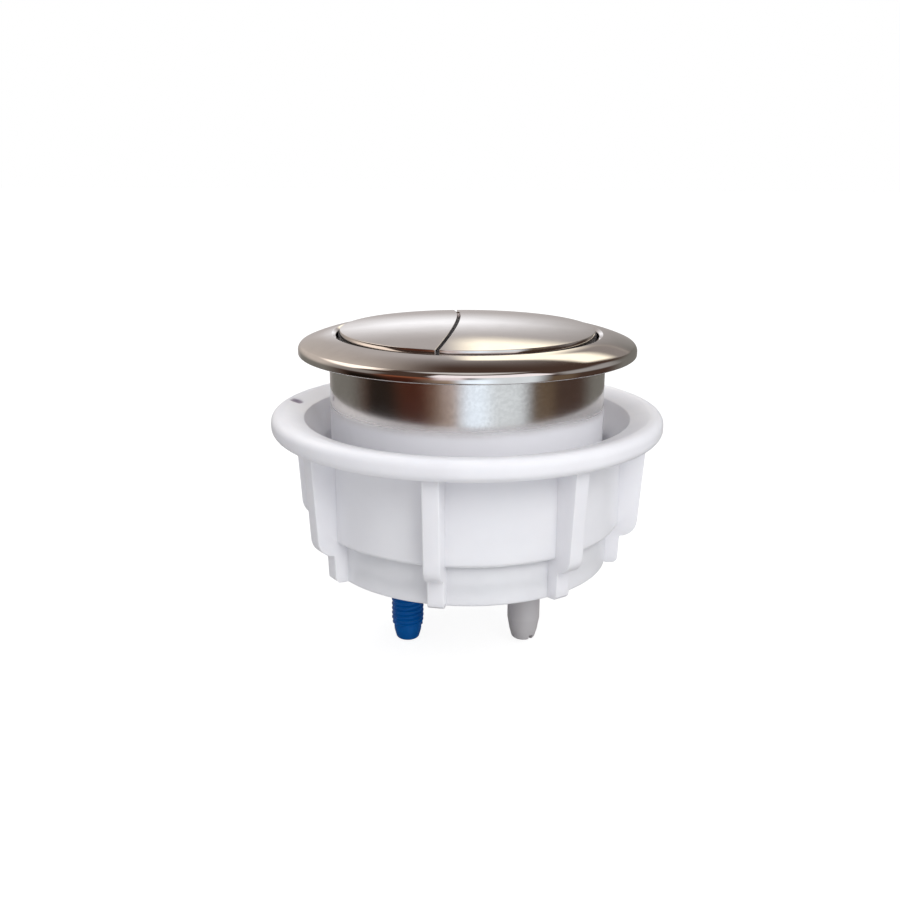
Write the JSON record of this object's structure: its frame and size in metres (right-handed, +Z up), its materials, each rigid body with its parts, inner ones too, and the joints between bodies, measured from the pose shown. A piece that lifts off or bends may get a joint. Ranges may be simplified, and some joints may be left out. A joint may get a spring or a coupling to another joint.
{
  "type": "push button cistern actuator",
  "caption": "Round dual-flush actuator for a cistern lid: bright bezel and sleeve, split domed buttons on sprung plungers with push rods, and a white ribbed fixing nut.",
  "frame": {"origin": "on the sleeve's axis, in the plane of the bezel flange's underside, which sits on the cistern lid", "axes": "+Z up along the sleeve towards the buttons; X through both push rods, the small button on -X; Y along the gap between the buttons, the pictured front on -Y"},
  "size_m": [0.083, 0.083, 0.0725],
  "materials": {
    "bright_metallised": "bright metallised plastic",
    "white_plastic": "plain moulded",
    "nut_plastic": "satin moulded",
    "spring_steel": "drawn wire",
    "blue_plastic": "plain moulded",
    "grey_plastic": "plain moulded"
  },
  "bodies": {
    "housing": {"bezel_sleeve": "bright_metallised", "button_guide": "white_plastic", "half_spring": "spring_steel", "full_spring": "spring_steel"},
    "half_button": {"half_button_cap": "bright_metallised", "half_plunger": "white_plastic", "half_push_rod": "blue_plastic"},
    "full_button": {"full_button_cap": "bright_metallised", "full_plunger": "white_plastic", "full_push_rod": "grey_plastic"},
    "nut": {"fixing_nut": "nut_plastic"}
  },
  "joints": [
    {"name": "half_button_press", "type": "slide", "parent": "housing", "child": "half_button", "axis": [0, 0, -1], "range_m": [0, 0.008], "stiffness_N_per_m": 600, "springref_m": -0.006, "deforming": ["half_spring"]},
    {"name": "full_button_press", "type": "slide", "parent": "housing", "child": "full_button", "axis": [0, 0, -1], "range_m": [0, 0.008], "stiffness_N_per_m": 600, "springref_m": -0.006, "deforming": ["full_spring"]},
    {"name": "nut_travel", "type": "slide", "parent": "housing", "child": "nut", "axis": [0, 0, 1], "range_m": [-0.004, 0.011]}
  ]
}
